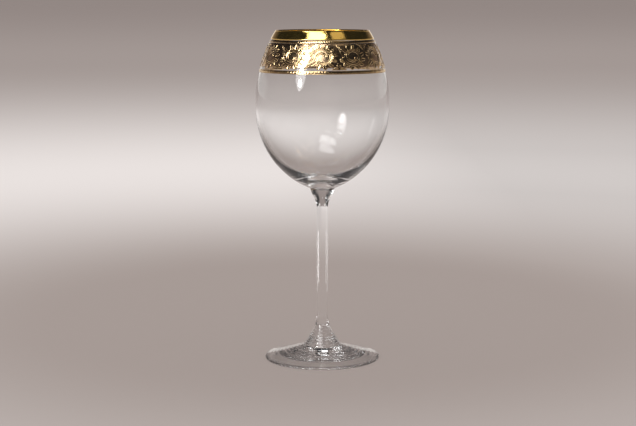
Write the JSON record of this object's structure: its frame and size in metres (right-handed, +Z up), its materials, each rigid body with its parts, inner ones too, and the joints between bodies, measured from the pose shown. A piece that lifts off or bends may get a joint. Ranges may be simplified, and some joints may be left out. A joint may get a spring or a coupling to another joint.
{
  "type": "red wine glass",
  "caption": "Stemmed red wine glass with an egg-shaped bowl, drawn stem and round spun foot, gilded lip and a band of gilded scrollwork on a satin gold ground between bead lines.",
  "frame": {"origin": "middle of the standing ring under the foot, on the table", "axes": "+Z up along the axis of the glass; -Y is the side that faces the camera, +X to its right"},
  "size_m": [0.093, 0.093, 0.2303],
  "materials": {
    "clear_glass": "clear polished crystal",
    "fired_gold": "polished fired gold"
  },
  "bodies": {
    "root": {"bowl": "clear_glass", "stem": "clear_glass", "foot": "clear_glass", "lip_band": "fired_gold", "upper_bead_line": "fired_gold", "lower_bead_line": "fired_gold", "ground_band": "fired_gold", "scroll_01": "fired_gold", "scroll_02": "fired_gold", "scroll_03": "fired_gold", "scroll_04": "fired_gold", "scroll_05": "fired_gold", "scroll_06": "fired_gold", "scroll_07": "fired_gold", "scroll_08": "fired_gold", "scroll_09": "fired_gold", "scroll_10": "fired_gold", "scroll_11": "fired_gold", "scroll_12": "fired_gold", "sprig_01": "fired_gold", "sprig_02": "fired_gold", "sprig_03": "fired_gold", "sprig_04": "fired_gold", "sprig_05": "fired_gold", "sprig_06": "fired_gold", "sprig_07": "fired_gold", "sprig_08": "fired_gold", "sprig_09": "fired_gold", "sprig_10": "fired_gold", "sprig_11": "fired_gold", "sprig_12": "fired_gold"}
  },
  "joints": []
}
